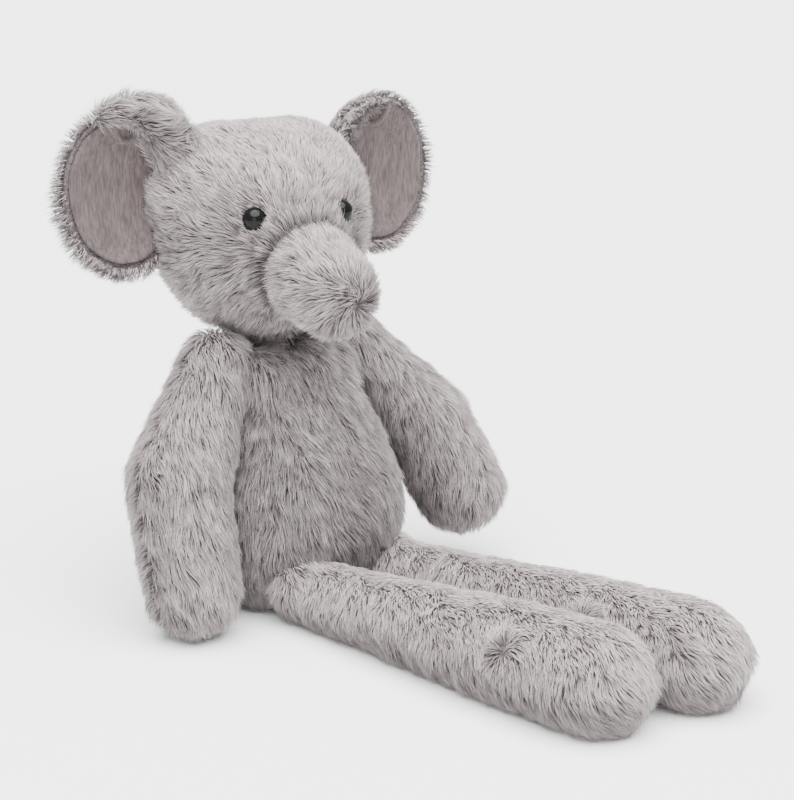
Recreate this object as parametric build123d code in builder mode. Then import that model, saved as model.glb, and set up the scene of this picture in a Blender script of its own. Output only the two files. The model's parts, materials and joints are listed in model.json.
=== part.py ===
from build123d import *
import math
import os

# Long-legged stuffed elephant, sitting on the floor with its legs straight out.
# Millimetres. +Z is up, the toy faces -Y and its own left is +X.
# The origin is the point of the flat seat that rests on the floor.

# ---------------------------------------------------------------- fabric and clearances
COVER = 2.0            # pile fabric: knitted backing and the dense root of the pile
JOINT_GAP = 0.8        # free space between two bodies at a sewn joint
POUCH = 1.0            # thickness of a bean pouch's cloth

# ---------------------------------------------------------------- torso
# (height, half width, half depth, middle of the section along Y)
TORSO = [
    (0.0, 30.0, 26.0, 8.0),
    (4.0, 37.0, 33.0, 6.0),
    (11.0, 44.0, 40.0, 4.5),
    (24.0, 51.0, 45.5, 3.0),
    (42.0, 55.0, 49.5, 1.5),
    (60.0, 53.5, 49.5, 2.0),
    (80.0, 48.0, 46.0, 4.0),
    (100.0, 41.0, 39.5, 8.0),
    (118.0, 33.0, 32.0, 12.0),
    (131.0, 25.0, 25.0, 16.0),
    (138.5, 18.5, 18.5, 20.0),
]
SEAT_SEAM = 3.0        # height of the seam round the seat panel
SIDE_SEAM_LEAN = 6.5   # degrees that the side seams lean back
SEAT_POUCH_CENTRE = (0.0, 14.0, 14.0)
SEAT_POUCH_RADIUS = 25.0
SEAT_POUCH_HALF_HEIGHT = 9.0

# ---------------------------------------------------------------- neck and head
NECK = (0.0, 20.0, 146.0)       # centre of the neck ball, and of the head's nod
NECK_RADIUS = 18.0
NECK_BASE = 139.3               # flat underside of the neck, just above the torso
HEAD = (-5.0, 26.0, 201.0)
HEAD_TURN = -14.0               # degrees that the head looks to its own right
HEAD_RADIUS = 55.0
BACK_SEAM = 14.0                # seam between face and back of head, behind the centre
CHIN_SEAM = -26.0               # height of the chin seam
GUSSET_HALF_WIDTH = 17.0

EYE_SPREAD = 26.0               # each eye's distance from the middle of the face
EYE_FORWARD = 46.5
EYE_HEIGHT = 12.0
EYE_RADIUS = 6.2
EYE_DOME = 4.2
EYE_STEM_RADIUS = 1.8
EYE_STEM_LENGTH = 9.0
WASHER_RADIUS = 8.0
WASHER_THICKNESS = 1.5

# ---------------------------------------------------------------- trunk
TRUNK = [(0.0, -55.0, -15.0), (0.0, -82.0, -22.0)]   # root and end, from the head's centre
TRUNK_RADII = (23.0, 21.5, 20.5)                     # at its root, middle and end
TRUNK_TIP_SEAM = 28.0           # from the trunk's root to the seam of its blunt end

# ---------------------------------------------------------------- ears
EAR_CENTRE = (75.0, 12.0, 22.0)  # from the head's centre
EAR_HALF_WIDTH = 33.0
EAR_HALF_HEIGHT = 43.0
EAR_DISH = 88.0                  # radius of the ear's hollow
EAR_LINING = 2.0
EAR_PILE = 3.5
EAR_ROOT_GAP = 2.2

# ---------------------------------------------------------------- limbs
# Arms are gently bent: their middle lines run through a root, an elbow and an end.
ARM_RIGHT = [(-49.5, 15.0, 127.0), (-81.5, 5.0, 80.0), (-85.5, -10.0, 26.0)]
ARM_RIGHT_RADII = (17.5, 23.0, 21.5)
ARM_LEFT = [(49.5, 12.0, 127.0), (82.0, -11.0, 83.0), (94.0, -28.0, 47.0)]
ARM_LEFT_RADII = (17.5, 23.0, 22.5)
# Legs are straight, from the hip to the middle of the foot's round end.
LEG_RIGHT = [(-27.0, -47.0, 17.5), (-27.0, -231.0, 24.8)]
LEG_LEFT = [(27.0, -47.0, 17.5), (28.0, -245.0, 24.8)]
LEG_RADII = (16.5, 21.0, 24.5)   # at the hip, halfway and at the foot
ANKLE = 140.0                    # from the hip to the foot's seam
FOOT_POUCH_RADIUS = 13.0
FOOT_POUCH_LENGTH = 20.0         # between the centres of the pouch's round ends

# ---------------------------------------------------------------- tail and label
TAIL = [(0.0, 55.0, 26.0), (0.0, 78.0, 15.0)]
TAIL_RADII = (5.5, 4.7, 4.0)
TAIL_TUFT_RADIUS = 7.0
LABEL_WIDTH = 24.0
LABEL_HEIGHT = 16.0
LABEL_THICKNESS = 0.8
LABEL_PLACE = (27.0, 42.5, 17.0)


# ================================================================ shared shapes
def direction_of(points):
    """The unit direction from a straight limb's root to its end."""
    return (Vector(*points[1]) - Vector(*points[0])).normalized()


def straight_limb(points, radii, inset=0.0):
    """A round-ended solid turned about the line between two points, drawn in by inset."""
    root = Vector(*points[0])
    along = direction_of(points)
    length = (Vector(*points[1]) - root).length
    start, middle, end = (radius - inset for radius in radii)
    half_turn = math.sqrt(0.5)
    with BuildPart() as limb:
        with BuildSketch(Plane(origin=root, x_dir=along, z_dir=Plane(origin=root, z_dir=along).x_dir)):
            with BuildLine():
                ThreePointArc((-start, 0), (-start * half_turn, start * half_turn), (0, start))
                Spline((0, start), (length / 2, middle), (length, end), tangents=[(1, 0), (1, 0)])
                ThreePointArc((length, end), (length + end * half_turn, end * half_turn), (length + end, 0))
                Line((length + end, 0), (-start, 0))
            make_face()
        revolve(axis=Axis(root, along))
    return limb.part


def bent_limb(points, radii, inset=0.0):
    """Two straight lengths that share a round elbow, drawn in by inset all over."""
    root, elbow, end = radii
    upper = straight_limb(points[:2], (root, (root + elbow) / 2, elbow), inset)
    lower = straight_limb(points[1:], (elbow, (elbow + end) / 2, end), inset)
    with BuildPart() as limb:
        add(upper)
        add(lower)
    return limb.part


def cover_of(outer, inner):
    """The sewn cover between an outer skin and the stuffing inside it."""
    with BuildPart() as cover:
        add(outer)
        add(inner, mode=Mode.SUBTRACT)
    return cover.part


def panel_of(cover, *cuts):
    """One sewn panel: the part of a cover on the kept side of each seam plane."""
    with BuildPart() as panel:
        add(cover)
        for plane, side in cuts:
            split(bisect_by=plane, keep=side)
    return panel.part


finished = {}


def finish(label, shape):
    """Label a finished piece and keep it for the STEP files."""
    shape.label = label
    finished[label] = shape


# ================================================================ torso
SOCKETS = [
    (ARM_RIGHT[0], ARM_RIGHT_RADII[0]),
    (ARM_LEFT[0], ARM_LEFT_RADII[0]),
    (LEG_RIGHT[0], LEG_RADII[0]),
    (LEG_LEFT[0], LEG_RADII[0]),
    (TAIL[0], TAIL_RADII[0]),
]


def torso_sections(inset):
    """The torso's sections, drawn in by inset all over."""
    sections = [(z, rx - inset, ry - inset, yc) for z, rx, ry, yc in TORSO]
    if inset:
        sections[0] = (inset, TORSO[0][1] + 1.0, TORSO[0][2] + 1.0, TORSO[0][3])
        top = TORSO[-1]
        sections[-1] = (top[0] - inset, top[1] - inset + 0.8, top[2] - inset + 0.8, top[3])
    return sections


def torso_solid(inset=0.0):
    """The pear-shaped torso, with a round hollow for the root of each limb."""
    with BuildPart() as torso:
        for z, rx, ry, yc in torso_sections(inset):
            with BuildSketch(Plane(origin=(0, yc, z))):
                Ellipse(rx, ry)
        loft()
        for centre, radius in SOCKETS:
            with Locations(centre):
                Sphere(radius + JOINT_GAP + inset, mode=Mode.SUBTRACT)
    return torso.part


torso_outer = torso_solid()
torso_inner = torso_solid(COVER)
torso_cover = cover_of(torso_outer, torso_inner)

seat_plane = Plane.XY.offset(SEAT_SEAM)
side_plane = Plane(origin=(0, 2, 0), x_dir=(1, 0, 0), z_dir=Vector(0, 1, 0).rotate(Axis.X, -SIDE_SEAM_LEAN))
middle_plane = Plane.YZ

finish("torso_seat_panel", panel_of(torso_cover, (seat_plane, Keep.BOTTOM)))
finish("torso_front_panel", panel_of(torso_cover, (seat_plane, Keep.TOP), (side_plane, Keep.BOTTOM)))
finish("torso_back_left_panel",
       panel_of(torso_cover, (seat_plane, Keep.TOP), (side_plane, Keep.TOP), (middle_plane, Keep.TOP)))
finish("torso_back_right_panel",
       panel_of(torso_cover, (seat_plane, Keep.TOP), (side_plane, Keep.TOP), (middle_plane, Keep.BOTTOM)))


def pouch_solid(centre, radius, half_height, inset=0.0):
    """A flat round pouch: a disc with a full round edge."""
    edge = half_height - inset
    flat = radius - half_height
    with BuildPart() as pouch:
        with BuildSketch(Plane(origin=centre, x_dir=(1, 0, 0), z_dir=(0, -1, 0))):
            with BuildLine():
                Polyline((flat, -edge), (0, -edge), (0, edge), (flat, edge))
                ThreePointArc((flat, edge), (flat + edge, 0), (flat, -edge))
            make_face()
        revolve(axis=Axis(centre, (0, 0, 1)))
    return pouch.part


seat_pouch = pouch_solid(SEAT_POUCH_CENTRE, SEAT_POUCH_RADIUS, SEAT_POUCH_HALF_HEIGHT)
seat_beans = pouch_solid(SEAT_POUCH_CENTRE, SEAT_POUCH_RADIUS, SEAT_POUCH_HALF_HEIGHT, POUCH)

with BuildPart() as torso_stuffing:
    add(torso_inner)
    add(seat_pouch, mode=Mode.SUBTRACT)
finish("torso_stuffing", torso_stuffing.part)
finish("seat_bean_pouch", cover_of(seat_pouch, seat_beans))
finish("seat_beans", seat_beans)

with BuildPart() as care_label:
    with BuildSketch(Plane(origin=LABEL_PLACE, x_dir=(0, 1, 0), z_dir=(0, 0, 1)).rotated((0, 0, -35))):
        Rectangle(LABEL_WIDTH, LABEL_THICKNESS)
    extrude(amount=LABEL_HEIGHT)
    add(torso_outer, mode=Mode.SUBTRACT)
finish("care_label", care_label.part)

# ================================================================ neck
with BuildPart() as neck_outer:
    with Locations(NECK):
        Sphere(NECK_RADIUS)
    split(bisect_by=Plane.XY.offset(NECK_BASE), keep=Keep.TOP)

with BuildPart() as neck_stuffing:
    with Locations(NECK):
        Sphere(NECK_RADIUS - COVER)
    split(bisect_by=Plane.XY.offset(NECK_BASE + COVER), keep=Keep.TOP)

finish("neck_cover", cover_of(neck_outer.part, neck_stuffing.part))
finish("neck_stuffing", neck_stuffing.part)

# ================================================================ head
turn = math.radians(HEAD_TURN)
head_right_to_left = Vector(math.cos(turn), math.sin(turn), 0)
head_front_to_back = Vector(-math.sin(turn), math.cos(turn), 0)


def head_point(x, y, z):
    """A point given from the head's centre, x to its left, y to its back and z up."""
    return Vector(*HEAD) + head_right_to_left * x + head_front_to_back * y + Vector(0, 0, z)


def head_plane(normal, offset):
    """A seam plane of the head: normal is one of its own directions."""
    return Plane(origin=Vector(*HEAD) + normal * offset, z_dir=normal)


def head_limb(points):
    """A middle line given from the head's centre, in the toy's frame."""
    return [tuple(head_point(*point)) for point in points]


trunk_points = head_limb(TRUNK)


def head_solid(inset=0.0):
    """The round head, with hollows for the neck ball and the root of the trunk."""
    with BuildPart() as head:
        with Locations(HEAD):
            Sphere(HEAD_RADIUS - inset, rotation=(90, 0, 0))
        with Locations(NECK):
            Sphere(NECK_RADIUS + JOINT_GAP + inset, mode=Mode.SUBTRACT)
        with Locations(trunk_points[0]):
            Sphere(TRUNK_RADII[0] + JOINT_GAP + inset, mode=Mode.SUBTRACT)
    return head.part


head_outer = head_solid()
head_inner = head_solid(COVER)


def eye_plane(side):
    """The plane at an eye's centre on the face, looking out of the head."""
    out = Vector(side * EYE_SPREAD, -EYE_FORWARD, EYE_HEIGHT)
    out = head_point(*out) - Vector(*HEAD)
    return Plane(origin=Vector(*HEAD) + out, z_dir=out.normalized())


def eye_solid(side):
    """A domed safety eye with the stem that holds it through the face."""
    place = eye_plane(side)
    ball = (EYE_RADIUS ** 2 + EYE_DOME ** 2) / (2 * EYE_DOME)
    half_angle = math.asin(EYE_RADIUS / ball) / 2
    dome_middle = (ball * math.sin(half_angle), EYE_DOME - ball + ball * math.cos(half_angle))
    with BuildPart() as eye:
        with BuildSketch(Plane(origin=place.origin, x_dir=place.x_dir, z_dir=-place.y_dir)):
            with BuildLine():
                ThreePointArc((EYE_RADIUS, 0), dome_middle, (0, EYE_DOME))
                Polyline((0, EYE_DOME), (0, -EYE_STEM_LENGTH), (EYE_STEM_RADIUS, -EYE_STEM_LENGTH),
                         (EYE_STEM_RADIUS, 0), (EYE_RADIUS, 0))
            make_face()
        revolve(axis=Axis(place.origin, place.z_dir))
    return eye.part


def washer_solid(side):
    """The ring pushed onto the eye's stem behind the face fabric."""
    place = eye_plane(side)
    back = Plane(origin=place.origin - place.z_dir * (COVER + 1.5 + WASHER_THICKNESS),
                 x_dir=place.x_dir, z_dir=place.z_dir)
    with BuildPart() as washer:
        with BuildSketch(back):
            Circle(WASHER_RADIUS)
            Circle(EYE_STEM_RADIUS, mode=Mode.SUBTRACT)
        extrude(amount=WASHER_THICKNESS)
    return washer.part


eyes = {side: eye_solid(side) for side in (-1, 1)}
washers = {side: washer_solid(side) for side in (-1, 1)}

with BuildPart() as head_cover:
    add(head_outer)
    add(head_inner, mode=Mode.SUBTRACT)
    for side in (-1, 1):
        add(eyes[side], mode=Mode.SUBTRACT)

with BuildPart() as head_stuffing:
    add(head_inner)
    for side in (-1, 1):
        add(eyes[side], mode=Mode.SUBTRACT)
        add(washers[side], mode=Mode.SUBTRACT)

back_plane = head_plane(head_front_to_back, BACK_SEAM)
chin_plane = head_plane(Vector(0, 0, 1), CHIN_SEAM)
left_plane = head_plane(head_right_to_left, GUSSET_HALF_WIDTH)
right_plane = head_plane(head_right_to_left, -GUSSET_HALF_WIDTH)
front_cut = (back_plane, Keep.BOTTOM)
above_chin = (chin_plane, Keep.TOP)

finish("head_back_panel", panel_of(head_cover.part, (back_plane, Keep.TOP)))
finish("chin_panel", panel_of(head_cover.part, front_cut, (chin_plane, Keep.BOTTOM)))
finish("forehead_gusset",
       panel_of(head_cover.part, front_cut, above_chin, (left_plane, Keep.BOTTOM), (right_plane, Keep.TOP)))
finish("face_left_panel", panel_of(head_cover.part, front_cut, above_chin, (left_plane, Keep.TOP)))
finish("face_right_panel", panel_of(head_cover.part, front_cut, above_chin, (right_plane, Keep.BOTTOM)))
finish("head_stuffing", head_stuffing.part)
for side, name in ((1, "left"), (-1, "right")):
    finish(f"eye_{name}", eyes[side])
    finish(f"eye_washer_{name}", washers[side])

# ================================================================ trunk
trunk_outer = straight_limb(trunk_points, TRUNK_RADII)
trunk_inner = straight_limb(trunk_points, TRUNK_RADII, COVER)
trunk_cover = cover_of(trunk_outer, trunk_inner)
trunk_direction = direction_of(trunk_points)
trunk_tip_plane = Plane(origin=Vector(*trunk_points[0]) + trunk_direction * TRUNK_TIP_SEAM, z_dir=trunk_direction)
trunk_side_plane = Plane(origin=trunk_points[1], x_dir=head_right_to_left,
                         z_dir=trunk_direction.cross(head_right_to_left))

finish("trunk_tip_panel", panel_of(trunk_cover, (trunk_tip_plane, Keep.TOP)))
finish("trunk_top_panel", panel_of(trunk_cover, (trunk_tip_plane, Keep.BOTTOM), (trunk_side_plane, Keep.TOP)))
finish("trunk_under_panel", panel_of(trunk_cover, (trunk_tip_plane, Keep.BOTTOM), (trunk_side_plane, Keep.BOTTOM)))
finish("trunk_stuffing", trunk_inner)


# ================================================================ ears
def ear_layer(side, nearest, thickness):
    """One layer of a dished ear, between two spheres about a centre in front of it."""
    middle = head_point(side * EAR_CENTRE[0], EAR_CENTRE[1], EAR_CENTRE[2])
    dish_centre = middle - head_front_to_back * EAR_DISH
    with BuildPart() as layer:
        with BuildSketch(Plane(origin=middle, x_dir=head_right_to_left, z_dir=head_front_to_back)):
            Ellipse(EAR_HALF_WIDTH, EAR_HALF_HEIGHT)
        extrude(amount=25, both=True)
        with Locations(dish_centre):
            Sphere(nearest + thickness, mode=Mode.INTERSECT)
        with Locations(dish_centre):
            Sphere(nearest, mode=Mode.SUBTRACT)
        with Locations(HEAD):
            Sphere(HEAD_RADIUS + EAR_ROOT_GAP, mode=Mode.SUBTRACT)
    return layer.part


for side, name in ((1, "left"), (-1, "right")):
    finish(f"ear_{name}_lining", ear_layer(side, EAR_DISH - EAR_LINING, EAR_LINING))
    finish(f"ear_{name}_pile", ear_layer(side, EAR_DISH, EAR_PILE))


# ================================================================ arms
def build_arm(name, points, radii):
    """An arm: front and back panels that meet along its outer side, and its stuffing."""
    outer = bent_limb(points, radii)
    inner = bent_limb(points, radii, COVER)
    cover = cover_of(outer, inner)
    along = (Vector(*points[2]) - Vector(*points[0])).normalized()
    seam_plane = Plane(origin=points[0], z_dir=Vector(1, 0, 0).cross(along))
    forward = Keep.TOP if seam_plane.z_dir.Y < 0 else Keep.BOTTOM
    backward = Keep.BOTTOM if forward == Keep.TOP else Keep.TOP
    finish(f"arm_{name}_front_panel", panel_of(cover, (seam_plane, forward)))
    finish(f"arm_{name}_back_panel", panel_of(cover, (seam_plane, backward)))
    finish(f"arm_{name}_stuffing", inner)


build_arm("left", ARM_LEFT, ARM_LEFT_RADII)
build_arm("right", ARM_RIGHT, ARM_RIGHT_RADII)


# ================================================================ legs
def build_leg(name, points):
    """A leg: top, under and foot panels, stuffing, and a pouch of beans in the foot."""
    outer = straight_limb(points, LEG_RADII)
    inner = straight_limb(points, LEG_RADII, COVER)
    cover = cover_of(outer, inner)
    along = direction_of(points)
    seam_plane = Plane(origin=points[0], z_dir=along.cross(Vector(1, 0, 0)))
    ankle_plane = Plane(origin=Vector(*points[0]) + along * ANKLE, z_dir=along)
    leg_side = (ankle_plane, Keep.BOTTOM)

    foot = Vector(*points[1])
    pouch_points = [tuple(foot - along * FOOT_POUCH_LENGTH), tuple(foot)]
    pouch = straight_limb(pouch_points, (FOOT_POUCH_RADIUS,) * 3)
    beans = straight_limb(pouch_points, (FOOT_POUCH_RADIUS,) * 3, POUCH)
    with BuildPart() as stuffing:
        add(inner)
        add(pouch, mode=Mode.SUBTRACT)

    finish(f"leg_{name}_top_panel", panel_of(cover, leg_side, (seam_plane, Keep.TOP)))
    finish(f"leg_{name}_under_panel", panel_of(cover, leg_side, (seam_plane, Keep.BOTTOM)))
    finish(f"foot_{name}_panel", panel_of(cover, (ankle_plane, Keep.TOP)))
    finish(f"leg_{name}_stuffing", stuffing.part)
    finish(f"foot_{name}_bean_pouch", cover_of(pouch, beans))
    finish(f"foot_{name}_beans", beans)


build_leg("left", LEG_LEFT)
build_leg("right", LEG_RIGHT)

# ================================================================ tail
tail_tube_solid = straight_limb(TAIL, TAIL_RADII)

with BuildPart() as tail_tuft:
    with Locations(TAIL[1]):
        Sphere(TAIL_TUFT_RADIUS)
    add(tail_tube_solid, mode=Mode.SUBTRACT)

finish("tail_tube", tail_tube_solid)
finish("tail_tuft", tail_tuft.part)

# ================================================================ files
os.makedirs("parts", exist_ok=True)
for label, shape in finished.items():
    export_step(shape, f"parts/{label}.step")
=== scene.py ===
import json
import math

import bmesh
import bpy
import numpy as np
from mathutils import Matrix, Vector
from mathutils.bvhtree import BVHTree


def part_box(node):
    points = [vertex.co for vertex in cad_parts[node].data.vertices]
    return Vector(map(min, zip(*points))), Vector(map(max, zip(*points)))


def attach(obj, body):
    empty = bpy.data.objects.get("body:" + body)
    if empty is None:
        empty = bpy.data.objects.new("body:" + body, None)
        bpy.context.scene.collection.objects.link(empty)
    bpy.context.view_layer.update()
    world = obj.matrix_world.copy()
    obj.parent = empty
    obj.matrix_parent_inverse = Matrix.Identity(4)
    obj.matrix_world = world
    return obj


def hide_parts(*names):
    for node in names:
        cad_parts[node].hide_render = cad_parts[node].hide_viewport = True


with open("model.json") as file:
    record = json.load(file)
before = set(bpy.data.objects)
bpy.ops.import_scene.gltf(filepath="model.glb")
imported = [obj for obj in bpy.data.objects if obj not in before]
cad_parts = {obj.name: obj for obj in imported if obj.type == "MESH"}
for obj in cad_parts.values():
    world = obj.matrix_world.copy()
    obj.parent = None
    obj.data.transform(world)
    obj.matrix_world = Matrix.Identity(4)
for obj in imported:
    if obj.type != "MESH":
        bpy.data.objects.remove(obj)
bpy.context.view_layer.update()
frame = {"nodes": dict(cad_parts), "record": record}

MM = 0.001
UP = np.array((0.0, 0.0, 1.0))
TO_LEFT = np.array((1.0, 0.0, 0.0))          # the toy's own left
TINY = 1e-9                                  # keeps a length of nothing from dividing by zero
NODES = frame["nodes"]
BODIES = frame["record"]["behaviour"]["bodies"]
JOINTS = {joint["name"]: joint for joint in frame["record"]["behaviour"]["joints"]}

# ---------------------------------------------------------------- view
CAMERA_AZIMUTH = math.radians(-42)
CAMERA_ELEVATION = math.radians(15)
CAMERA_PIVOT = (0, 0, 0.1)                   # the camera's distance and angles are from here
CAMERA_DISTANCE = 1.10
CAMERA_TARGET = (0.0398, -0.0330, 0.1078)    # the middle of the picture
CAMERA_LENS = 92.07
SENSOR_WIDTH = 36

# ---------------------------------------------------------------- pile
STRANDS_PER_M2 = 1.35e6
STRAND_WIDTH = 0.46 * MM
MAX_STRANDS = 19500                          # in one piece of pile
BEND_WIDTH = 0.8                             # width at the bend, as a share of the width at the root
BEND_HEIGHT = 0.55                           # place of the bend in the colour along a strand
UV_MARGIN = 0.01
STRAND_ROUNDNESS = 0.55                      # shares of the strand's own round and of the skin's direction
SKIN_SHARE = 0.8                             # in how a strand takes the light

FIRST_SEED, SEED_STEP = 100, 50              # each body draws its random numbers from its own seed
SHORTEST = 0.5 * MM                          # pile shorter than this isn't grown
NEIGHBOUR_GAP = 2.2 * MM                     # no pile roots this near to another body's skin
FLOOR_CLEARANCE = 0.4 * MM
STRAND_CLEARANCE = FLOOR_CLEARANCE * 1.5
PRESSED_HEIGHT = 1.2 * MM                    # below this no pile roots where the skin faces the floor
FACES_FLOOR = -0.6                           # the upward part of a skin's direction
BROAD_SWIRL = (11 * MM, 0.55)                # size and strength
FINE_SWIRL = (4.5 * MM, 0.38)
FLOW_SPREAD = 0.13                           # each SPREAD is a standard deviation
WAVE_SIZE = 6 * MM                           # waves of lift and shade
LIFT_WAVE = 0.12
LIFT_SPREAD = 0.07
LEAST_LIFT = 0.05
LENGTH_PATCH_SIZE = 5 * MM
LENGTH_PATCH = 0.16
MEAN_LENGTH = 0.92                           # as a share of the coat's length
LENGTH_RANGE = (0.72, 1.12)
ROOT_PART, TIP_PART = 0.5, 0.55              # shares of the length before and after the bend
ROOT_LIFT = 0.22                             # added to the lift before the bend
TIP_LIFT = 0.55                              # share of the lift that is left after the bend
TIP_FLOW = 1.15                              # pull of the flow after the bend, before the lift is taken off
TIP_DROOP = 0.10
CLUMP_EDGE_SIZE = 3 * MM                     # noise that makes the edges of clumps uneven
CLUMP_EDGE_SHIFT = 1.2 * MM
GRIP_RANGE = (0.5, 1.25)                     # how hard a clump draws its tips together
MOST_GRIP = 0.85
BEND_GRIP = 0.18
SHADE_WAVE = 0.14
STRAND_SHADE_SPREAD = 0.17
CLUMP_SHADE_SPREAD = 0.13
WIDTH_RANGE = (0.6, 1.25)

# ---------------------------------------------------------------- words in the names of CAD nodes
LOOSE_WORDS = ("beans", "pouch", "washer", "label", "eye")    # no skin is shrunk round these nodes
BARE_WORDS = ("stuffing", "lining", *LOOSE_WORDS)             # no pile grows for these


# ================================================================ vectors
def joint_point(name):
    return np.array(JOINTS[name]["pos_m"])


def unit(v):
    return v / np.maximum(np.linalg.norm(v, axis=-1, keepdims=True), TINY)


def tangent(v, n):
    """The part of v that lies along a surface whose normal is n, one unit long."""
    return unit(v - n * np.sum(v * n, axis=-1, keepdims=True))


def smoothstep(low, high, x):
    t = np.clip((x - low) / (high - low), 0, 1)
    return t * t * (3 - 2 * t)


HASH_X, HASH_Y, HASH_Z = 73856093, 19349663, 83492791
HASH_SEED, HASH_MIX = 2654435761, 1274126177
HASH_MIDDLE = 32767.5                        # half of the greatest 16-bit number


def lattice_noise(points, cell, seed):
    """Smooth noise from -1 to 1 with features about one cell across."""
    grid = points / cell
    base = np.floor(grid).astype(np.int64)
    f = grid - base
    f = f * f * (3 - 2 * f)
    total = np.zeros(len(points))
    for dx in (0, 1):
        for dy in (0, 1):
            for dz in (0, 1):
                h = ((base[:, 0] + dx) * HASH_X) ^ ((base[:, 1] + dy) * HASH_Y)
                h = h ^ ((base[:, 2] + dz) * HASH_Z) ^ (seed * HASH_SEED)
                h = (h ^ (h >> 13)) * HASH_MIX
                value = ((h ^ (h >> 16)) & 0xFFFF) / HASH_MIDDLE - 1
                wx = f[:, 0] if dx else 1 - f[:, 0]
                wy = f[:, 1] if dy else 1 - f[:, 1]
                wz = f[:, 2] if dz else 1 - f[:, 2]
                total += value * wx * wy * wz
    return total


def noise_vector(points, cell, seed):
    return np.stack([lattice_noise(points, cell, seed + k) for k in range(3)], axis=-1)


# ================================================================ materials
def new_material(name):
    material = bpy.data.materials.new(name)
    material.use_nodes = True
    nodes = material.node_tree.nodes
    return material, nodes, material.node_tree.links, nodes["Principled BSDF"]


def colour_ramp(nodes, *stops):
    """A Color Ramp node. A stop is a place from 0 to 1, and a colour."""
    ramp = nodes.new("ShaderNodeValToRGB")
    elements = ramp.color_ramp.elements
    while len(elements) < len(stops):
        elements.new(0.5)
    for element, (place, colour) in zip(elements, stops):
        element.position = place
        element.color = (*colour, 1)
    return ramp


def mixed_colour(nodes, links, blend, factor, a, b):
    """A Mix node for colours. A factor or colour is a number, a colour or an output socket."""
    mix = nodes.new("ShaderNodeMix")
    mix.data_type = "RGBA"
    mix.blend_type = blend
    for socket, value in ((mix.inputs[0], factor), (mix.inputs[6], a), (mix.inputs[7], b)):
        if isinstance(value, bpy.types.NodeSocket):
            links.new(value, socket)
        elif isinstance(value, tuple):
            socket.default_value = (*value, 1)
        else:
            socket.default_value = value
    return mix.outputs[2]


def noise_texture(nodes, links, scale, detail=3.0, stretch=(1, 1, 1)):
    coordinates = nodes.new("ShaderNodeTexCoord")
    mapping = nodes.new("ShaderNodeMapping")
    mapping.inputs["Scale"].default_value = stretch
    links.new(coordinates.outputs["Object"], mapping.inputs["Vector"])
    noise = nodes.new("ShaderNodeTexNoise")
    noise.inputs["Scale"].default_value = scale
    noise.inputs["Detail"].default_value = detail
    links.new(mapping.outputs["Vector"], noise.inputs["Vector"])
    return noise.outputs["Fac"]


def add_bump(nodes, links, shader, height, strength, distance):
    bump = nodes.new("ShaderNodeBump")
    bump.inputs["Strength"].default_value = strength
    bump.inputs["Distance"].default_value = distance
    links.new(height, bump.inputs["Height"])
    links.new(bump.outputs["Normal"], shader.inputs["Normal"])


def pile_material():
    """Long pile: v runs from root to tip of each strand, and u is the strand's shade: its own tone, which
    differs at random, with painted light and shade laid on by its coat.
    """
    material, nodes, links, shader = new_material("pile")
    uv = nodes.new("ShaderNodeUVMap")
    uv.uv_map = "OFBake"
    split = nodes.new("ShaderNodeSeparateXYZ")
    links.new(uv.outputs["UV"], split.inputs[0])
    # Darker towards the root and lighter towards the tip; the dark roots are painted shade deep in the pile.
    along = colour_ramp(nodes, (0.0, (0.050, 0.041, 0.042)), (0.45, (0.235, 0.202, 0.202)),
                        (1.0, (0.68, 0.612, 0.606)))
    links.new(split.outputs["Y"], along.inputs["Fac"])
    # u scales the colour: random tone, with painted light on lit tops and painted shade on shaded parts.
    shade = colour_ramp(nodes, (0.0, (0.30, 0.293, 0.297)), (0.5, (0.74, 0.73, 0.73)),
                        (1.0, (1.0, 0.985, 0.98)))
    links.new(split.outputs["X"], shade.inputs["Fac"])
    colour = mixed_colour(nodes, links, "MULTIPLY", 1.0, along.outputs["Color"], shade.outputs["Color"])
    links.new(colour, shader.inputs["Base Color"])
    shader.inputs["Roughness"].default_value = 0.62
    shader.inputs["Specular IOR Level"].default_value = 0.25
    shader.inputs["Sheen Weight"].default_value = 0.25
    shader.inputs["Sheen Roughness"].default_value = 0.4
    return material


def backing_shade_material():
    """The dense root of the pile, seen between the strands, painted dark as the shade deep in the pile."""
    material, nodes, links, shader = new_material("pile_backing")
    speckle = noise_texture(nodes, links, 900, 2)
    ramp = colour_ramp(nodes, (0.35, (0.06, 0.050, 0.051)), (0.65, (0.14, 0.120, 0.121)))
    links.new(speckle, ramp.inputs["Fac"])
    links.new(ramp.outputs["Color"], shader.inputs["Base Color"])
    shader.inputs["Roughness"].default_value = 0.95
    shader.inputs["Specular IOR Level"].default_value = 0.1
    return material


def velour_material():
    """Short nap in the ears, with upright fibres."""
    material, nodes, links, shader = new_material("ear_velour")
    nap = noise_texture(nodes, links, 260, 4, (1, 1, 0.3))
    fibres = noise_texture(nodes, links, 900, 3, (1, 1, 0.16))
    ramp = colour_ramp(nodes, (0.3, (0.095, 0.076, 0.076)), (0.7, (0.130, 0.105, 0.105)))
    links.new(nap, ramp.inputs["Fac"])
    grain = colour_ramp(nodes, (0.35, (0.66, 0.65, 0.65)), (0.6, (1.0, 1.0, 1.0)))
    links.new(fibres, grain.inputs["Fac"])
    colour = mixed_colour(nodes, links, "MULTIPLY", 1.0, ramp.outputs["Color"], grain.outputs["Color"])
    links.new(colour, shader.inputs["Base Color"])
    add_bump(nodes, links, shader, fibres, 0.85, 0.7 * MM)
    shader.inputs["Roughness"].default_value = 0.9
    shader.inputs["Specular IOR Level"].default_value = 0.15
    shader.inputs["Sheen Weight"].default_value = 0.25
    shader.inputs["Sheen Roughness"].default_value = 0.4
    return material


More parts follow.
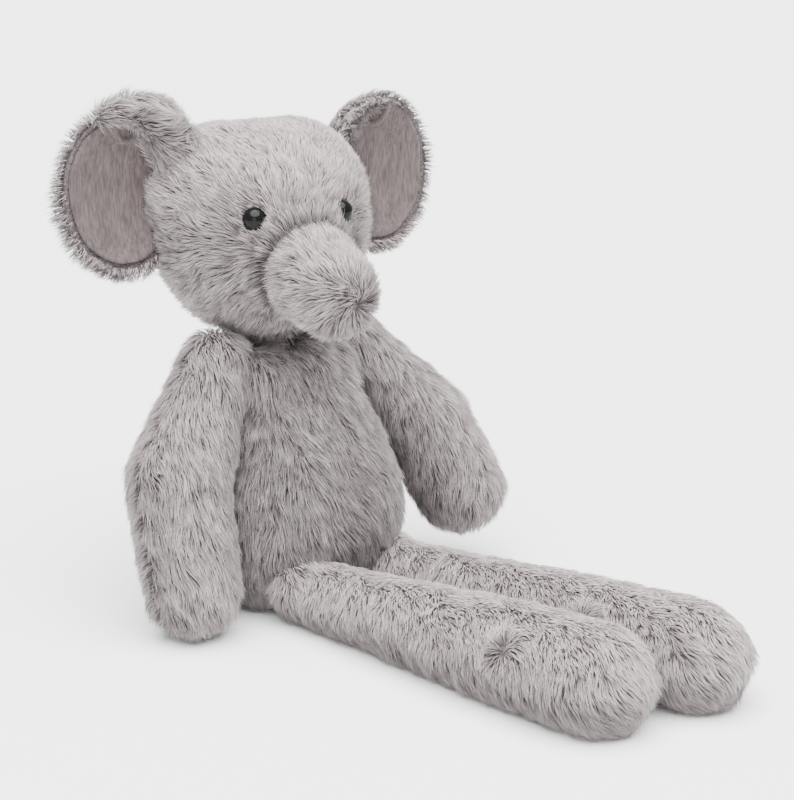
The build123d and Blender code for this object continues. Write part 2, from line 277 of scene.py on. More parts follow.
def eye_material():
    """Black plastic with faint wear in its gloss."""
    material, nodes, links, shader = new_material("eye_plastic")
    shader.inputs["Base Color"].default_value = (0.004, 0.004, 0.004, 1)
    marks = noise_texture(nodes, links, 500, 3)
    ramp = colour_ramp(nodes, (0.3, (0.12, 0.12, 0.12)), (0.7, (0.2, 0.2, 0.2)))
    links.new(marks, ramp.inputs["Fac"])
    links.new(ramp.outputs["Color"], shader.inputs["Roughness"])
    shader.inputs["Specular IOR Level"].default_value = 0.13
    return material


def cloth_material(name, dark, light, roughness=0.85):
    """Plain woven or moulded material of the pieces inside the toy and of its label."""
    material, nodes, links, shader = new_material(name)
    weave = noise_texture(nodes, links, 1400, 3)
    ramp = colour_ramp(nodes, (0.35, dark), (0.65, light))
    links.new(weave, ramp.inputs["Fac"])
    links.new(ramp.outputs["Color"], shader.inputs["Base Color"])
    add_bump(nodes, links, shader, weave, 0.3, 0.2 * MM)
    shader.inputs["Roughness"].default_value = roughness
    return material


# ================================================================ skins
def mesh_arrays(mesh):
    """Vertices, vertex normals and triangles of a mesh as arrays."""
    count = len(mesh.vertices)
    vertices = np.empty(count * 3)
    mesh.vertices.foreach_get("co", vertices)
    normals = np.empty(count * 3)
    mesh.vertices.foreach_get("normal", normals)
    mesh.calc_loop_triangles()
    triangles = np.empty(len(mesh.loop_triangles) * 3, dtype=np.int32)
    mesh.loop_triangles.foreach_get("vertices", triangles)
    return vertices.reshape(-1, 3), normals.reshape(-1, 3), triangles.reshape(-1, 3)


def stacked(meshes):
    """The vertices and triangles of several meshes in one pair of lists."""
    vertices, faces, start = [], [], 0
    for mesh in meshes:
        v, _, f = mesh_arrays(mesh)
        vertices.append(v)
        faces.append(f + start)
        start += len(v)
    return np.concatenate(vertices).tolist(), np.concatenate(faces).tolist()


def set_vertices(piece, vertices):
    piece.data.vertices.foreach_set("co", vertices.ravel())
    piece.data.update()


def lift_off_floor(points, height=FLOOR_CLEARANCE):
    points[:, 2] = np.maximum(points[:, 2], height)


def surface_tree(meshes):
    """A search tree for the nearest point on some meshes."""
    return BVHTree.FromPolygons(*stacked(meshes))


def joined(name, meshes):
    """One new object that holds copies of several meshes."""
    vertices, faces = stacked(meshes)
    mesh = bpy.data.meshes.new(name)
    mesh.from_pydata(vertices, [], faces)
    result = bpy.data.objects.new(name, mesh)
    bpy.context.scene.collection.objects.link(result)
    return result


def apply_modifiers(piece):
    bpy.context.view_layer.update()
    evaluated = piece.evaluated_get(bpy.context.evaluated_depsgraph_get())
    mesh = bpy.data.meshes.new_from_object(evaluated)
    piece.modifiers.clear()
    piece.data = mesh


def remeshed_skin(name, nodes, voxel, drawn_in, smoothing, extra=()):
    """A closed even skin round some CAD nodes and extra meshes, smoothed and drawn in a little."""
    skin = joined(name, [NODES[node].data for node in nodes] + list(extra))
    remesh = skin.modifiers.new("even", "REMESH")
    remesh.mode = "VOXEL"
    remesh.voxel_size = voxel
    smooth = skin.modifiers.new("soft", "SMOOTH")
    smooth.factor = 0.5
    smooth.iterations = smoothing
    apply_modifiers(skin)
    vertices, normals, _ = mesh_arrays(skin.data)
    vertices = vertices - normals * drawn_in
    lift_off_floor(vertices)
    set_vertices(skin, vertices)
    skin.data.polygons.foreach_set("use_smooth", np.ones(len(skin.data.polygons), dtype=bool))
    return skin


SWELLING_FRAMES = 20


def fill_out(skins, cap):
    """Swells the skins by cloth simulation under inside pressure, each point by at most cap."""
    rest = {skin: mesh_arrays(skin.data)[0] for skin in skins}
    for skin in skins:
        cloth = skin.modifiers.new("filling", "CLOTH")
        cloth.settings.quality = 5
        cloth.settings.mass = 0.004
        cloth.settings.tension_stiffness = 0.25
        cloth.settings.compression_stiffness = 0.25
        cloth.settings.bending_stiffness = 0.01
        cloth.settings.use_pressure = True
        cloth.settings.uniform_pressure_force = 7
        cloth.settings.effector_weights.gravity = 0
        cloth.point_cache.frame_start = 1
        cloth.point_cache.frame_end = SWELLING_FRAMES
    for step in range(1, SWELLING_FRAMES + 1):
        bpy.context.scene.frame_set(step)
    for skin in skins:
        evaluated = skin.evaluated_get(bpy.context.evaluated_depsgraph_get())
        swollen = np.empty(len(rest[skin]) * 3)
        evaluated.data.vertices.foreach_get("co", swollen)
        move = swollen.reshape(-1, 3) - rest[skin]
        distance = np.linalg.norm(move, axis=1, keepdims=True)
        move = move * np.minimum(1, cap / np.maximum(distance, TINY))
        filled = rest[skin] + move
        lift_off_floor(filled)
        skin.modifiers.clear()
        set_vertices(skin, filled)
    bpy.context.scene.frame_set(1)


def hold_off(skin, nodes, gap):
    """Moves any point of a skin that lies inside the filling, or nearer than gap, out to the gap."""
    tree = surface_tree([NODES[node].data for node in nodes])
    vertices = mesh_arrays(skin.data)[0]
    for i, vertex in enumerate(vertices):
        place, normal, _, _ = tree.find_nearest(vertex)
        if (Vector(vertex) - place).dot(normal) < gap:
            vertices[i] = place + normal * gap
    set_vertices(skin, vertices)


def ball_mesh(place, radius):
    ball = bmesh.new()
    bmesh.ops.create_icosphere(ball, subdivisions=3, radius=radius,
                               matrix=Matrix.Translation(Vector(place)))
    mesh = bpy.data.meshes.new("ball")
    ball.to_mesh(mesh)
    ball.free()
    return mesh


# ================================================================ pile
def sample_surface(mesh, rng):
    """Random roots of strands on a mesh, with their smooth normals."""
    vertices, normals, triangles = mesh_arrays(mesh)
    a, b, c = (vertices[triangles[:, k]] for k in range(3))
    areas = np.linalg.norm(np.cross(b - a, c - a), axis=1) / 2
    count = int(areas.sum() * STRANDS_PER_M2)
    chosen = rng.choice(len(triangles), count, p=areas / areas.sum())
    u, v = rng.random(count), rng.random(count)
    flip = u + v > 1
    u[flip], v[flip] = 1 - u[flip], 1 - v[flip]
    weights = np.stack([1 - u - v, u, v], axis=1)[:, :, None]
    corners = triangles[chosen]
    points = np.sum(vertices[corners] * weights, axis=1)
    return points, unit(np.sum(normals[corners] * weights, axis=1))


def strand_mesh(name, roots, bends, tips, widths, shades, root_normals):
    """Closed tapered strands with three sides, from root over a bend to a point."""
    count = len(roots)
    along = unit(bends - roots)
    side = unit(np.cross(along, root_normals + 1e-4))
    front = np.cross(along, side)
    rings = []
    for centre, scale in ((roots, 1.0), (bends, BEND_WIDTH)):
        for corner in range(3):
            angle = 2 * math.pi * corner / 3
            offset = side * math.cos(angle) + front * math.sin(angle)
            rings.append(centre + offset * (widths * scale / 2)[:, None])
    vertices = np.stack(rings + [tips], axis=1)
    per_strand = vertices.shape[1]
    first = (np.arange(count) * per_strand)[:, None]
    quads = np.array([[0, 1, 4, 3], [1, 2, 5, 4], [2, 0, 3, 5]])
    points = np.array([[3, 4, 6], [4, 5, 6], [5, 3, 6]])
    loops = np.concatenate([quads.ravel(), points.ravel(), (2, 1, 0)])
    loop_vertices = (first + loops[None, :]).ravel()
    sizes = np.tile((4, 4, 4, 3, 3, 3, 3), count)

    mesh = bpy.data.meshes.new(name)
    mesh.vertices.add(count * per_strand)
    mesh.vertices.foreach_set("co", vertices.ravel())
    mesh.loops.add(len(loop_vertices))
    mesh.loops.foreach_set("vertex_index", loop_vertices.astype(np.int32))
    mesh.polygons.add(len(sizes))
    starts = np.concatenate([[0], np.cumsum(sizes)[:-1]])
    mesh.polygons.foreach_set("loop_start", starts.astype(np.int32))
    mesh.polygons.foreach_set("use_smooth", np.ones(len(sizes), dtype=bool))
    mesh.update(calc_edges=True)

    heights = np.array([0.0] * 3 + [BEND_HEIGHT] * 3 + [1.0])
    uv = np.empty((count, len(loops), 2))
    uv[:, :, 0] = shades[:, None]
    uv[:, :, 1] = heights[loops][None, :]
    uv = uv * (1 - 2 * UV_MARGIN) + UV_MARGIN
    layer = mesh.uv_layers.new(name="OFBake")
    layer.data.foreach_set("uv", uv.ravel())

    blended = unit(vertices - np.stack([roots] * 3 + [bends] * 3 + [tips], axis=1) + TINY)
    blended[:, -1] = root_normals
    blended = unit(blended * STRAND_ROUNDNESS + root_normals[:, None, :] * SKIN_SHARE)
    mesh.normals_split_custom_set_from_vertices(blended.reshape(-1, 3))
    result = bpy.data.objects.new(name, mesh)
    bpy.context.scene.collection.objects.link(result)
    result.data.materials.append(PILE)
    return result


class Coat:
    """How the pile of one body lies and looks. Each setting but clump and pull may vary over the skin."""

    # shade is the pile's tone, and in most coats it holds painted light and shade as well.
    def __init__(self, flow, length, lift=0.42, clump=2.9 * MM, pull=0.33, shade=0.55):
        self.flow = flow
        self.length = length
        self.lift = lift
        self.clump = clump
        self.pull = pull
        self.shade = shade


def value_at(setting, points, normals):
    """A setting of a coat: a number, or a function of place."""
    if callable(setting):
        return setting(points, normals)
    return np.full(len(points), float(setting))


def clear_roots(points, normals, lengths, neighbours):
    """Which roots grow pile: not under the floor's pressure and not where another body's skin touches."""
    keep = lengths > SHORTEST
    keep &= (points[:, 2] > PRESSED_HEIGHT) | (normals[:, 2] > FACES_FLOOR)
    for other in neighbours:
        tree = surface_tree([other.data])
        for i in np.flatnonzero(keep):
            if tree.find_nearest(points[i], NEIGHBOUR_GAP)[0] is not None:
                keep[i] = False
    return keep


def nearest_panels(points, panels):
    """The number of the sewn panel that each root is nearest to."""
    if len(panels) == 1:
        return np.zeros(len(points), dtype=int)
    face_counts = [len(mesh_arrays(NODES[node].data)[2]) for node in panels]
    owner_of_face = np.repeat(np.arange(len(panels)), face_counts)
    tree = surface_tree([NODES[node].data for node in panels])
    return np.array([owner_of_face[tree.find_nearest(p)[2]] for p in points])


def grow(body, skin, coat, panels, neighbours, seed):
    """The pile of one body, as one piece for each sewn panel, or more where a panel has many strands."""
    rng = np.random.default_rng(seed)
    points, normals = sample_surface(skin.data, rng)
    lengths = value_at(coat.length, points, normals)
    keep = clear_roots(points, normals, lengths, neighbours)
    points, normals, lengths = points[keep], normals[keep], lengths[keep]
    count = len(points)

    flow = tangent(coat.flow(points, normals), normals)
    swirl = sum(noise_vector(points, size, seed + offset) * strength
                for (size, strength), offset in ((BROAD_SWIRL, 5), (FINE_SWIRL, 9)))
    flow = tangent(flow + swirl + rng.normal(0, FLOW_SPREAD, points.shape), normals)
    wave = lattice_noise(points, WAVE_SIZE, seed + 20)
    lift = value_at(coat.lift, points, normals) + wave * LIFT_WAVE + rng.normal(0, LIFT_SPREAD, count)
    lift = np.clip(lift, LEAST_LIFT, 1)
    patch = lattice_noise(points, LENGTH_PATCH_SIZE, seed + 31)
    lengths = lengths * (MEAN_LENGTH + LENGTH_PATCH * patch) * rng.uniform(*LENGTH_RANGE, count)

    start = unit(normals * (lift + ROOT_LIFT)[:, None] + flow * (1 - lift)[:, None])
    finish = unit(normals * (lift * TIP_LIFT)[:, None] + flow * (TIP_FLOW - lift)[:, None] - UP * TIP_DROOP)
    bends = points + start * (lengths * ROOT_PART)[:, None]
    tips = bends + finish * (lengths * TIP_PART)[:, None]

    shifted = points + noise_vector(points, CLUMP_EDGE_SIZE, seed + 40) * CLUMP_EDGE_SHIFT
    cells = np.floor(shifted / coat.clump).astype(np.int64)
    _, clump = np.unique(cells, axis=0, return_inverse=True)
    clump = clump.ravel()
    members = np.bincount(clump)
    centre = np.stack([np.bincount(clump, tips[:, k]) / members for k in range(3)], axis=1)[clump]
    grip = (coat.pull * rng.uniform(*GRIP_RANGE, len(members)))[clump]
    tips = tips + (centre - tips) * np.minimum(grip, MOST_GRIP)[:, None]
    bends = bends + (centre - tips) * (grip * BEND_GRIP)[:, None]
    for place in (bends, tips):
        lift_off_floor(place, STRAND_CLEARANCE)

    # The coat's shade is mostly painted light and shade from where the pile lies; the wave and the spreads
    # are random tone.
    shades = value_at(coat.shade, points, normals) + wave * SHADE_WAVE
    shades = shades + rng.normal(0, STRAND_SHADE_SPREAD, count)
    shades = np.clip(shades + rng.normal(0, CLUMP_SHADE_SPREAD, len(members))[clump], 0, 1)
    widths = STRAND_WIDTH * rng.uniform(*WIDTH_RANGE, count)

    owners = nearest_panels(points, panels)
    for k, node in enumerate(panels):
        name = node.replace("_panel", "").replace("_cover", "") + "_strands"
        mine = np.flatnonzero(owners == k)
        mine = mine[np.argsort(points[mine, 0])]
        shares = np.array_split(mine, math.ceil(len(mine) / MAX_STRANDS))
        for number, share in enumerate(shares, 1):
            pile = strand_mesh(name if len(shares) == 1 else f"{name}_{number}",
                               points[share], bends[share], tips[share], widths[share], shades[share],
                               normals[share])
            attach(pile, body)
            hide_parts(node)


# ================================================================ the coat of each body
EYE_CLEARANCE = 5.4 * MM                     # no pile grows this near to the middle of an eye
HEAD_TURN = math.radians(-14)                # how far the head is turned at rest
HEAD_LEFT = np.array((math.cos(HEAD_TURN), math.sin(HEAD_TURN), 0))
HEAD_BACK = np.array((-math.sin(HEAD_TURN), math.cos(HEAD_TURN), 0))


def box_centre(node):
    low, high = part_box(node)
    return (np.array(low) + np.array(high)) / 2


def middle_of(nodes):
    """The middle of the box round several nodes."""
    lows, highs = (np.array(corners) for corners in zip(*[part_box(node) for node in nodes]))
    return (lows.min(axis=0) + highs.max(axis=0)) / 2


HEAD = middle_of([node for node in BODIES["head"] if "panel" in node or "gusset" in node])
TAIL_END = np.array((0, 0.12, 0.0))           # a place on the floor behind the tail
TRUNK_ROOT = joint_point("trunk_lift")
TRUNK_TIP = box_centre("trunk_tip_panel")


def head_place(left, back, up):
    """A point given in millimetres from the head's centre."""
    return HEAD + (HEAD_LEFT * left + HEAD_BACK * back + UP * up) * MM


def in_head(points):
    """Places from the head's centre: to its left, to its back, up."""
    local = points - HEAD
    return np.stack([local @ HEAD_LEFT, local @ HEAD_BACK, local[:, 2]], axis=1)


def tail_flow(points, normals):
    return unit(TAIL_END - points)


def torso_flow(points, normals):
    """Straight down, with the nap of the cloth leaning a little to the toy's own left."""
    return np.zeros_like(points) + np.array((0.26, -0.08, -1.0))


def head_flow(points, normals):
    """Away from the trunk, back over the crown and down the cheeks."""
    local = in_head(points)
    away = unit(points - (TRUNK_ROOT + TRUNK_TIP) / 2)
    crown = smoothstep(18 * MM, 45 * MM, local[:, 2])[:, None]
    cheek = smoothstep(10 * MM, -35 * MM, local[:, 2])[:, None]
    return away + HEAD_BACK * 0.5 * crown - UP * 0.5 * cheek


def head_length(points, normals):
    """Shorter on the crown and round the eyes, and none under them."""
    local = in_head(points)
    crown = smoothstep(12 * MM, 42 * MM, local[:, 2])
    length = 11.5 * MM - 4.5 * MM * crown
    for node in ("eye_right", "eye_left"):
        eye = in_head(box_centre(node)[None, :])[0]
        near = np.linalg.norm(local - eye, axis=1)
        length = length * (0.36 + 0.64 * smoothstep(5.5 * MM, 14 * MM, near))
        length = np.where(near < EYE_CLEARANCE, 0, length)
    return length


def head_shade(points, normals):
    """Lightest on the crown, where the light falls."""
    return 0.24 + 0.72 * smoothstep(-5 * MM, 42 * MM, in_head(points)[:, 2])


def trunk_flow(points, normals):
    """Pile fans out from the middle of the trunk's end and lies back along the trunk."""
    axis = unit(TRUNK_TIP - TRUNK_ROOT)
    heart = TRUNK_TIP + axis * 14 * MM
    swirl = np.cross(axis, points - heart)
    near = smoothstep(24 * MM, 8 * MM, np.linalg.norm(points - heart, axis=1))[:, None]
    return unit(points - heart) - axis * 0.6 + unit(swirl) * 0.7 * near - UP * 0.12


def torso_painted_shade(points, normals):
    """Painted shade: darkest low on the belly, which lies in shadow, and lighter on the bust, which the
    light from above reaches.
    """
    return 0.08 + 0.25 * smoothstep(60 * MM, 130 * MM, points[:, 2])


class LegPile:
    """Pile of a leg: shorter on top, a whorl on each side of the ankle, and a ridge along the side seam."""

    WHORL_RADIUS = 17 * MM
    RIDGE_HEIGHT, RIDGE_WIDTH = 3 * MM, 4 * MM        # pile stands up just above the seam
    HOLLOW_DEPTH, HOLLOW_WIDTH = 5 * MM, 3.5 * MM     # and is darker just below it, a painted shadow of the ridge

    def __init__(self, side):
        self.hip = joint_point(f"leg_{side}_swing")
        self.foot = box_centre(f"foot_{side}_panel") - (0, 60 * MM, 0)    # beyond the toe
        low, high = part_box(f"foot_{side}_panel")
        self.toe_y, self.ankle_y = low[1], high[1]
        self.rise = self.foot[2] - self.hip[2]

    def seam_height(self, points):
        """Height of the side seam, half-way up the leg."""
        way = np.clip((self.hip[1] - points[:, 1]) / (self.hip[1] - self.toe_y), 0, 1)
        return self.hip[2] + self.rise * way

    def above_seam(self, points):
        return points[:, 2] - self.seam_height(points)

    def flow(self, points, normals):
        base = unit(self.foot - points) * 0.8 - UP * 0.95
        for side in (-1, 1):
            heart = self.hip + (side * 20 * MM, 0, 14 * MM)
            heart[1] = self.ankle_y - 6 * MM
            away = points - heart
            near = smoothstep(self.WHORL_RADIUS, 4 * MM, np.linalg.norm(away, axis=1))[:, None]
            base = base * (1 - 0.72 * near) + unit(away) * near
        return base

    def length(self, points, normals):
        fringe = smoothstep(-4 * MM, -12 * MM, self.above_seam(points))
        return 11.0 * MM - 3.5 * MM * smoothstep(0.2, 0.8, normals[:, 2]) + 1.5 * MM * fringe

    def lift(self, points, normals):
        ridge = np.exp(-((self.above_seam(points) - self.RIDGE_HEIGHT) / self.RIDGE_WIDTH) ** 2)
        return 0.34 + 0.3 * ridge

    def shade(self, points, normals):
        # Painted light: lighter where the pile faces up to the light from above, and a painted shadow of the
        # seam's ridge just below it.
        seam_shadow = np.exp(-((self.above_seam(points) + self.HOLLOW_DEPTH) / self.HOLLOW_WIDTH) ** 2)
        return 0.58 + 0.42 * normals[:, 2] - 0.24 * seam_shadow


def painted_light_by_facing(base, gain):
    """Painted light: lighter pile where a surface faces up to the light from above, painted shade where it
    faces down.
    """
    return lambda points, normals: base + gain * normals[:, 2]


def arm_flow(hand, outward, across_seam):
    """Pile combed towards the hand and down, and parted along the outer seam."""
    def flow(points, normals):
        on_seam = np.clip(normals @ outward, 0, 1) ** 3
        side = np.sign(normals @ across_seam)
        return unit(hand - points) - UP * 0.3 + across_seam * (side * on_seam * 0.9)[:, None]
    return flow


class Ear:
    """One ear: places on it are given outward from the head, up and forward, from its middle."""

    DISH_RADIUS = 88 * MM
    # Rows of the two paths are out, up and the balls' radius, in millimetres.
    ROLL = [(13, 41, 2.5), (2, 44.5, 4.0), (-9, 43.5, 6.0), (-19, 37, 9.0), (-27, 25, 10.0), (-33, 12, 9.0),
            (-35, 0, 6.5)]
    TUCK = [(4.5, 41, 2.1), (3.5, 34, 2.1), (0, 29.5, 2.1), (-5, 28.5, 2.1), (-10, 30.5, 2.1),
            (-12.5, 36, 2.1)]
    ROLL_BALLS, TUCK_BALLS = 31, 41
    ROLL_RISE = 0.35                             # as a share of a ball's radius
    TUCK_RISE = 0.6 * MM
    ROLL_REACH = 1.15                            # pile this far out, as a share of the radius, is the roll's
    LINING_SCALE = 0.88
    LINING_RISE = 2.0 * MM
    BARE_GAP = 2.4 * MM                          # no pile of the ear grows this near to the velour

    def __init__(self, side, roll_scale, pile_length):
        self.word = "left" if side > 0 else "right"
        thinner = np.array((1, 1 - 0.25 * (1 - roll_scale), roll_scale))
        self.roll = np.array(self.ROLL) * MM * thinner
        self.pile_length = pile_length
        self.outward = HEAD_LEFT * side
        self.forward = -HEAD_BACK
        self.lining_node = f"ear_{self.word}_lining"
        self.pile_node = f"ear_{self.word}_pile"
        vertices, _, _ = mesh_arrays(NODES[self.lining_node].data)
        local = vertices - HEAD
        spans = [(local @ axis).min() + (local @ axis).max() for axis in (self.outward, UP)]
        self.middle = HEAD + self.outward * spans[0] / 2 + UP * spans[1] / 2
        tree = surface_tree([NODES[self.lining_node].data])
        hit = tree.ray_cast(Vector(self.middle + self.forward * 0.1), Vector(-self.forward))[0]
        self.middle = self.middle + self.forward * ((np.array(hit) - self.middle) @ self.forward)

    def local(self, points):
        offset = points - self.middle
        return np.stack([offset @ self.outward, offset @ UP, offset @ self.forward], axis=1)

    def world(self, local):
        return self.middle + local[:, :1] * self.outward + local[:, 1:2] * UP + local[:, 2:] * self.forward

    def dish(self, out, up):
        """How far forward the dish of the ear is at some place on it."""
        return (out * out + up * up) / (2 * self.DISH_RADIUS)

    def balls_along(self, path, count, rise):
        """Meshes of balls in a row on the dish, each raised from it by rise of its radius."""
        stations = np.linspace(0, len(path) - 1, count)
        rows = zip(*[np.interp(stations, np.arange(len(path)), column) for column in path.T])
        return [ball_mesh(self.world(np.array([[out, up, self.dish(out, up) + rise(radius)]]))[0], radius)
                for out, up, radius in rows]

    def build_pile(self):
        """The fabric under the pile, with the turned-over roll at the top and the root of the ear."""
        roll = self.balls_along(self.roll, self.ROLL_BALLS, lambda radius: radius * self.ROLL_RISE)
        return remeshed_skin(f"ear_{self.word}_skin", [self.pile_node], 1.5 * MM, 0.2 * MM, 4, roll)

    def build_lining(self):
        """The short velour in the dish of the ear, with fine upright creases and a tuck under the roll."""
        tuck = self.balls_along(np.array(self.TUCK) * MM, self.TUCK_BALLS, lambda radius: self.TUCK_RISE)
        lining = remeshed_skin(f"ear_{self.word}_velour", [self.lining_node], 1.0 * MM, 0.0, 2, tuck)
        vertices, normals, _ = mesh_arrays(lining.data)
        local = self.local(vertices)
        local[:, 2] -= self.dish(local[:, 0], local[:, 1])
        local[:, :2] *= self.LINING_SCALE
        local[:, 1] += self.LINING_RISE
        local[:, 2] += self.dish(local[:, 0], local[:, 1])
        vertices = self.world(local)
        creases = lattice_noise(vertices * np.array((1, 1, 0.22)), 1.9 * MM, 77) * 0.30 * MM
        creases += lattice_noise(vertices * np.array((1, 1, 0.5)), 9 * MM, 78) * 0.9 * MM
        set_vertices(lining, vertices + normals * creases[:, None])
        self.lining_tree = surface_tree([lining.data])
        return lining

    def flow(self, points, normals):
        """Pile lies outward over the ear, and over the roll towards the head's side."""
        local = self.local(points)
        away = unit(self.outward * (local[:, :1] + 38 * MM) + UP * (local[:, 1:2] + 4 * MM))
        roll = (smoothstep(4 * MM, 9 * MM, local[:, 2]) * smoothstep(-6 * MM, 12 * MM, local[:, 1]))[:, None]
        top = smoothstep(12 * MM, 38 * MM, local[:, 1])[:, None]
        over = self.forward * 0.6 + UP * (0.75 * top - 0.4) - self.outward * 0.3
        return away * (1 - roll) + over * roll - UP * 0.12

    def length(self, points, normals):
        """Pile on the back, rim and roll of the ear; none under the velour."""
        gap = np.array([self.lining_tree.find_nearest(p)[3] for p in points])
        faces_forward = normals @ self.forward > 0.1
        bare = (gap < self.BARE_GAP) & faces_forward & (self.roll_distance(points) > 0)
        low = smoothstep(-20 * MM, -42 * MM, self.local(points)[:, 1])
        return np.where(bare, 0, self.pile_length * (1 - 0.3 * low))

    def lift(self, points, normals):
        """Pile stands up more where it faces forward, round the velour."""
        forward = smoothstep(0.0, 0.6, normals @ self.forward)
        return 0.33 + 0.4 * forward * (self.roll_distance(points) > 0)

    def roll_distance(self, points):
        """How far points are outside the roll, seen from the front."""
        local = self.local(points)
        return np.min([np.hypot(local[:, 0] - out, local[:, 1] - up) - radius * self.ROLL_REACH
                       for out, up, radius in self.roll], axis=0)


# ================================================================ build
PILE = pile_material()
BACKING_SHADE = backing_shade_material()
VELOUR = velour_material()
EYE = eye_material()
LABEL = cloth_material("label_satin", (0.80, 0.79, 0.77), (0.92, 0.91, 0.89), 0.5)
STUFFING = cloth_material("stuffing_fibre", (0.74, 0.74, 0.72), (0.93, 0.93, 0.91))
POUCH = cloth_material("pouch_cloth", (0.70, 0.69, 0.65), (0.86, 0.85, 0.82))
MOULDED = cloth_material("moulded_plastic", (0.72, 0.72, 0.71), (0.80, 0.80, 0.79), 0.45)

# The pile fabric takes the backing, which is painted shade deep in the pile.
SLOT_MATERIALS = {
    "pile_fabric": BACKING_SHADE, "ear_velour": VELOUR, "stuffing": STUFFING, "pouch_cloth": POUCH,
    "beans": MOULDED, "eye": EYE, "washer": MOULDED, "label": LABEL,
}
for part in frame["record"]["subparts"]:
    cad = NODES[part["node"]]
    cad.data.materials.clear()
    cad.data.materials.append(SLOT_MATERIALS[part["material_slot"]])

# Places where the filling pushes the fabric out beyond the plain shapes: middle of the bulge and radius.
FULLNESS = {
    "head": [(head_place(-20, 3, 16), 39 * MM), (head_place(20, 3, 16), 39 * MM),
             (head_place(0, -41, -12), 28.5 * MM)],
    "torso": [((-0.022, 0.012, 0.121), 20 * MM), ((0.022, 0.012, 0.121), 20 * MM),
              ((0, 0.005, 0.124), 21 * MM)],
    "arm_right": [((-0.045, 0.016, 0.136), 15.5 * MM)],
    "arm_left": [((0.045, 0.014, 0.136), 15.5 * MM)],
    "leg_right": [((-0.028, -0.034, 0.0195), 17.5 * MM)],
    "leg_left": [((0.028, -0.036, 0.0195), 17.5 * MM)],
}

# Voxel size, how far the skin is drawn in, and rounds of smoothing.
USUAL_SKIN = (3.0 * MM, 0.9 * MM, 8)
SKIN_DETAIL = {
    "arm_left": (3.0 * MM, 0.3 * MM, 30),
    "arm_right": (3.0 * MM, 0.3 * MM, 30),
    "neck": (3.0 * MM, 0.8 * MM, 6),
    "tail": (1.2 * MM, 0.2 * MM, 4),
}
SWOLLEN = ("torso", "head", "trunk", "arm_left", "arm_right", "leg_left", "leg_right")
FILL_OUT_CAP = 2.0 * MM
FILLING_GAP = 0.5 * MM


def nodes_without(words, body):
    """The CAD nodes of a body whose names hold none of some words."""
    return [node for node in BODIES[body] if not any(word in node for word in words)]


skins = {}
for body in BODIES:
    if body.startswith("ear"):
        continue
    balls = [ball_mesh(place, radius) for place, radius in FULLNESS.get(body, ())]
    voxel, drawn_in, smoothing = SKIN_DETAIL.get(body, USUAL_SKIN)
    skins[body] = remeshed_skin(f"{body}_skin", nodes_without(LOOSE_WORDS, body), voxel, drawn_in, smoothing,
                                balls)
ears = {"left": Ear(1, 0.55, 7.5 * MM), "right": Ear(-1, 1.0, 11 * MM)}
for side, ear in ears.items():
    skins[f"ear_{side}"] = ear.build_pile()

fill_out([skins[body] for body in SWOLLEN], FILL_OUT_CAP)
for body in (*SWOLLEN, "neck"):
    hold_off(skins[body], [f"{body}_stuffing"], FILLING_GAP)

# Each skin takes the backing, painted dark as the shade deep in the pile between the strands.
for body, skin in skins.items():
    skin.data.materials.append(BACKING_SHADE)
    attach(skin, body)

for side, ear in ears.items():
    lining = ear.build_lining()
    lining.data.materials.append(VELOUR)
    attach(lining, f"ear_{side}")
    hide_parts(f"ear_{side}_lining")

# Shades that follow height or facing are painted light and painted shade.
coats = {
    "torso": Coat(torso_flow, 12.5 * MM, lift=0.36, shade=torso_painted_shade),
    "neck": Coat(torso_flow, 9 * MM, lift=0.45, shade=0.35),
    "head": Coat(head_flow, head_length, lift=0.40, shade=head_shade),
    "trunk": Coat(trunk_flow, 9.5 * MM, lift=0.42, shade=painted_light_by_facing(0.5, 0.25)),
    "tail": Coat(tail_flow, 8 * MM, lift=0.35, shade=0.5),
}
for side, sign in (("left", 1), ("right", -1)):
    shoulder = joint_point(f"arm_{side}_swing")
    low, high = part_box(f"arm_{side}_stuffing")
    outer = high[0] if sign > 0 else low[0]
    hand = np.array((outer - sign * 0.02, low[1] + 0.02, low[2] - 0.01))
    across_seam = unit(np.cross(hand - shoulder, TO_LEFT))
    coats[f"arm_{side}"] = Coat(arm_flow(hand, TO_LEFT * sign, across_seam), 12 * MM, lift=0.4,
                                 shade=painted_light_by_facing(0.36, 0.2))
    leg = LegPile(side)
    coats[f"leg_{side}"] = Coat(leg.flow, leg.length, lift=leg.lift, pull=0.24, shade=leg.shade)
    coats[f"ear_{side}"] = Coat(ears[side].flow, ears[side].length, lift=ears[side].lift, shade=0.72)

# Bodies whose skins touch each body's skin.
neighbours = {
    "torso": ("neck", "arm_left", "arm_right", "leg_left", "leg_right", "tail"),
    "neck": ("torso", "head"), "head": ("neck", "trunk"), "trunk": ("head",),
    "arm_left": ("torso",), "arm_right": ("torso",), "leg_left": ("torso",), "leg_right": ("torso",),
    "tail": ("torso",), "ear_left": (), "ear_right": (),
}
for number, (body, coat) in enumerate(coats.items()):
    grow(body, skins[body], coat, nodes_without(BARE_WORDS, body), [skins[n] for n in neighbours[body]],
         seed=FIRST_SEED + number * SEED_STEP)


# ================================================================ room
FLOOR_SIZE = 12


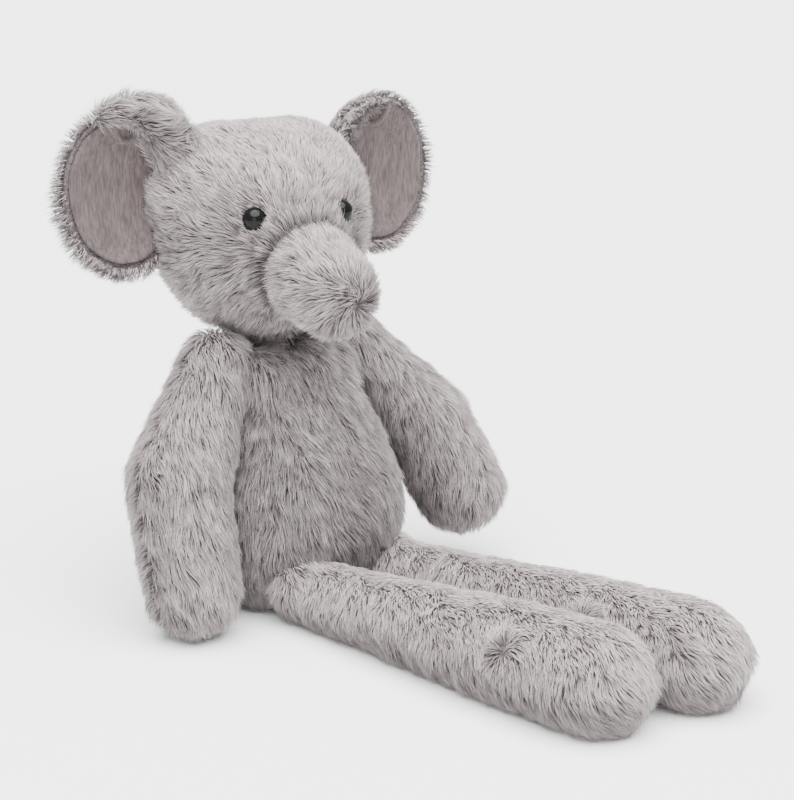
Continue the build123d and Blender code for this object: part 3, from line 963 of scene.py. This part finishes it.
def add_area_light(name, place, aim, size, power):
    light = bpy.data.lights.new(name, "AREA")
    light.shape = "DISK"
    light.size = size
    light.energy = power
    lamp = bpy.data.objects.new(name, light)
    lamp.location = place
    lamp.rotation_euler = (Vector(aim) - Vector(place)).to_track_quat("-Z", "Y").to_euler()
    bpy.context.scene.collection.objects.link(lamp)


def add_sky_light(name, towards_light, spread_degrees, strength):
    """Even soft light from a wide patch of ceiling."""
    light = bpy.data.lights.new(name, "SUN")
    light.angle = math.radians(spread_degrees)
    light.energy = strength
    lamp = bpy.data.objects.new(name, light)
    lamp.rotation_euler = Vector(towards_light).to_track_quat("Z", "Y").to_euler()
    bpy.context.scene.collection.objects.link(lamp)


def build_room():
    bpy.ops.mesh.primitive_plane_add(size=FLOOR_SIZE, location=(0, 0, 0))
    floor = bpy.context.object
    floor.name = "floor"
    material, _, _, shader = new_material("floor_white")
    shader.inputs["Base Color"].default_value = (0.95, 0.95, 0.95, 1)
    shader.inputs["Roughness"].default_value = 0.9
    floor.data.materials.append(material)

    world = bpy.data.worlds.new("studio")
    world.use_nodes = True
    background = world.node_tree.nodes["Background"]
    background.inputs["Color"].default_value = (1, 1, 1, 1)
    background.inputs["Strength"].default_value = 0.8
    bpy.context.scene.world = world

    add_sky_light("overhead_diffuser", towards_light=(-0.18, -0.25, 1.0), spread_degrees=70, strength=13)
    add_area_light("front_fill", place=(-1.3, -1.2, 0.6), aim=(0, 0, 0.12), size=1.0, power=8)


def build_camera():
    back = Vector((math.sin(CAMERA_AZIMUTH) * math.cos(CAMERA_ELEVATION),
                   -math.cos(CAMERA_AZIMUTH) * math.cos(CAMERA_ELEVATION),
                   math.sin(CAMERA_ELEVATION)))
    data = bpy.data.cameras.new("camera")
    data.lens = CAMERA_LENS
    data.sensor_width = SENSOR_WIDTH
    camera = bpy.data.objects.new("camera", data)
    camera.location = Vector(CAMERA_PIVOT) + back * CAMERA_DISTANCE
    aim = Vector(CAMERA_TARGET) - camera.location
    camera.rotation_euler = aim.to_track_quat("-Z", "Y").to_euler()
    bpy.context.scene.collection.objects.link(camera)
    bpy.context.scene.camera = camera


build_room()
build_camera()
